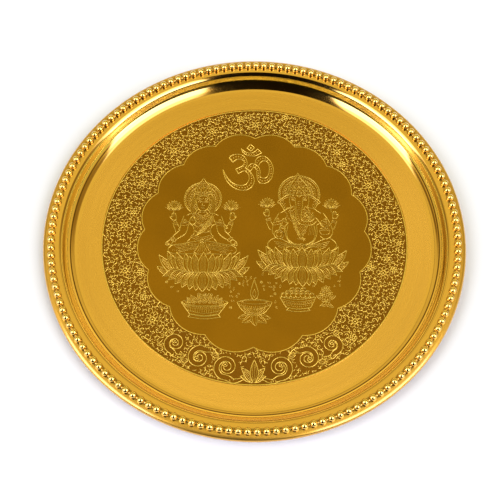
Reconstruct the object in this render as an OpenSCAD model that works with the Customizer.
// Puja thali: a round ritual plate spun from brass sheet.
// Its rim is rolled over a stiffening wire, a flat-backed beaded wire is soldered round the
// flange, and an etched disc is let into the floor.
// Millimetres. +Z is up, and the origin is on the table under the middle of the plate.

/* [Dish] */
// Diameter over the rolled rim
overall_d = 254; // [240:1:320]
// Thickness of the brass sheet
sheet_t = 1.2; // [0.8:0.1:1.5]
// Height of the flange's top above the floor ring's top
dish_depth = 8.2; // [7:0.1:16]
// Width of the level flange, from the shoulder to the middle of the rolled rim
flange_w = 6.9; // [6.5:0.1:9]
// Slope of the side wall above level, in degrees
wall_angle = 68; // [55:1:75]
// Radius of the hollow curve between the floor and the side wall
cavetto_r = 7.5; // [5:0.1:8]
// Radius of the round shoulder between the side wall and the flange
shoulder_r = 3; // [2:0.1:4]

/* [Rolled rim] */
// Diameter of the wire inside the rolled rim
wire_d = 2; // [1.6:0.1:2.4]
// Gap all round the wire inside the roll
wire_clear = 0.02; // [0.01:0.01:0.1]
// How far the sheet rolls round the wire, in degrees
curl_sweep = 265; // [200:5:285]

/* [Beaded border] */
// Diameter of one bead
bead_d = 4.4; // [3.6:0.1:4.8]
// Spacing of the beads along the border
bead_pitch = 5.2; // [5:0.05:7]
// Distance from the rim's outer edge in to the beads' middles
bead_inset = 5.3; // [5:0.1:6]
// Height of the beads' middles above the border's flat back
bead_lift = 0.9; // [0.5:0.1:1.4]
// Width of the flat strip that joins the beads
strip_w = 1.6; // [1:0.1:2.4]
// Thickness of that strip
strip_t = 0.8; // [0.5:0.1:1.2]

/* [Centre plate] */
// Width of the level floor ring between the hollow curve and the seat of the centre plate
floor_ring_w = 14.2; // [8:0.1:40]
// Thickness of the plate under its etched ground
plate_t = 0.5; // [0.3:0.1:1]
// Height of the ornament above the etched ground
relief_h = 0.2; // [0.1:0.05:0.3]
// Gap round the plate in its seat
seat_clear = 0.3; // [0.1:0.05:0.5]
// Width of the ridge round the plate's edge
edge_ridge_w = 0.7; // [0.4:0.1:1.5]
// Width of the ridge round the cusped panel
panel_ridge_w = 0.6; // [0.4:0.1:1.5]
// Rise of each lobe of the panel's outline, as a share of the distance between its cusps
lobe_rise_share = 0.2; // [0.12:0.01:0.3]

/* [Hidden] */
$fn = 96;

brass = [0.85, 0.62, 0.24];
old_brass = [0.60, 0.42, 0.12];

// Overrun of every cut, and overlap of the stretches of sheet that meet in one profile
over = 0.05;

// Heights
seat_depth = plate_t + relief_h;
floor_z = seat_depth + sheet_t;
flange_z = floor_z + dish_depth;

// Rolled rim
roll_in_r = wire_d / 2 + wire_clear;
roll_r = roll_in_r + sheet_t;
roll_x = overall_d / 2 - roll_r;
roll_z = flange_z - roll_r;

// Side wall, worked inwards from the rim: shoulder, straight stretch, hollow curve, floor
shoulder_x = roll_x - flange_w;
shoulder_z = flange_z - shoulder_r;
straight_h = dish_depth - (cavetto_r + shoulder_r) * (1 - cos(wall_angle));
straight_len = straight_h / sin(wall_angle);
straight_x = shoulder_x - shoulder_r * sin(wall_angle) - straight_len * cos(wall_angle);
floor_r = straight_x - cavetto_r * sin(wall_angle);

// Seat of the centre plate, pressed down into the floor
seat_r = floor_r - floor_ring_w;
plate_r = seat_r - seat_clear;
step_r = min(seat_depth, sheet_t / 2);

// Beaded border
bead_ring_r = overall_d / 2 - bead_inset;
bead_count = floor(2 * PI * bead_ring_r / bead_pitch);

// The right half of the panel's outline: the angle of each cusp and its radius as a share of
// the plate's radius. The left half mirrors it.
cusp_angles = [90, 70, 49.5, 27.5, 5, -18.5, -43, -67, -90];
cusp_radius_shares = [0.777, 0.746, 0.733, 0.721, 0.724, 0.714, 0.712, 0.735, 0.76];

// Half of the outline has this many lobes
half_lobes = len(cusp_angles) - 1;

function cusp(i) = plate_r * cusp_radius_shares[i] * [cos(cusp_angles[i]), sin(cusp_angles[i])];

// Radius of the circle through two cusps whose arc rises by its share of their distance
function lobe_r(a, b) = norm(b - a) * (1 / (8 * lobe_rise_share) + lobe_rise_share / 2);

// Middle of that circle, on the chord's inner side
function lobe_middle(a, b) =
    (a + b) / 2 - (lobe_r(a, b) - lobe_rise_share * norm(b - a)) * (a + b) / norm(a + b);

// A stretch of a flat ring between two angles, in the profile's plane
module ring_arc(in_r, out_r, from, to) {
    reach = 2 * out_r;
    middle = (from + to) / 2;
    half = (to - from) / 2;
    intersection() {
        difference() {
            circle(r = out_r);
            circle(r = in_r);
        }
        if (half < 90)
            polygon([
                [0, 0],
                reach * [cos(from), sin(from)],
                reach / cos(half) * [cos(middle), sin(middle)],
                reach * [cos(to), sin(to)]
            ]);
        else
            difference() {
                square(2 * reach, center = true);
                polygon([
                    [0, 0],
                    reach * [cos(to), sin(to)],
                    -reach / cos(180 - half) * [cos(middle), sin(middle)],
                    reach * [cos(from), sin(from)]
                ]);
            }
    }
}

// The floor, with its middle pressed down as the seat of the centre plate
module floor_profile() {
    foot_r = seat_r + sheet_t;
    square([foot_r - step_r, sheet_t]);
    translate([foot_r - step_r, step_r]) circle(r = step_r);
    translate([seat_r, step_r]) square([sheet_t, floor_z - step_r]);
    translate([seat_r, seat_depth]) square([floor_r - seat_r + over, sheet_t]);
}

// The hollow curve, the straight stretch and the round shoulder of the side wall
module wall_profile() {
    translate([floor_r, floor_z + cavetto_r])
        ring_arc(cavetto_r, cavetto_r + sheet_t, -90, wall_angle - 90);
    translate([straight_x, floor_z + cavetto_r * (1 - cos(wall_angle))])
        rotate(wall_angle)
            translate([-over, -sheet_t]) square([straight_len + 2 * over, sheet_t]);
    translate([shoulder_x, shoulder_z])
        ring_arc(shoulder_r - sheet_t, shoulder_r, 90, 90 + wall_angle);
}

// The level flange and the roll that closes on the wire
module rim_profile() {
    translate([shoulder_x - over, flange_z - sheet_t]) square([flange_w + 2 * over, sheet_t]);
    translate([roll_x, roll_z]) ring_arc(roll_in_r, roll_r, 90 - curl_sweep, 90);
}

module dish() {
    color(brass)
        rotate_extrude() {
            floor_profile();
            wall_profile();
            rim_profile();
        }
}

module edge_wire() {
    color(old_brass)
        rotate_extrude()
            translate([roll_x, roll_z]) circle(d = wire_d);
}

// One bead, with the flat back that it is soldered on
module bead() {
    rotate_extrude()
        intersection() {
            translate([0, bead_lift]) circle(d = bead_d);
            square(bead_d);
        }
}

module bead_wire() {
    color(brass)
        translate([0, 0, flange_z]) {
            rotate_extrude()
                translate([bead_ring_r - strip_w / 2, 0]) square([strip_w, strip_t]);
            for (i = [0:bead_count - 1])
                rotate(90 + 360 * i / bead_count)
                    translate([bead_ring_r, 0, 0]) bead();
        }
}

// Every lobe's circle, grown outwards by grow
module lobes(grow) {
    for (side = [0, 1], i = [0:half_lobes - 1])
        mirror([side, 0])
            translate(lobe_middle(cusp(i), cusp(i + 1)))
                circle(r = lobe_r(cusp(i), cusp(i + 1)) + grow);
}

// The panel inside the cusped outline
module panel_outline() {
    polygon([
        for (i = [0:half_lobes]) cusp(i),
        for (i = [half_lobes - 1:-1:1]) [-cusp(i)[0], cusp(i)[1]]
    ]);
    lobes(0);
}

module centre_plate() {
    color(old_brass)
        translate([0, 0, sheet_t]) {
            cylinder(r = plate_r, h = plate_t);
            linear_extrude(seat_depth)
                difference() {
                    circle(r = plate_r);
                    circle(r = plate_r - edge_ridge_w);
                }
            linear_extrude(seat_depth)
                difference() {
                    lobes(panel_ridge_w);
                    panel_outline();
                }
        }
}

dish();
edge_wire();
bead_wire();
centre_plate();
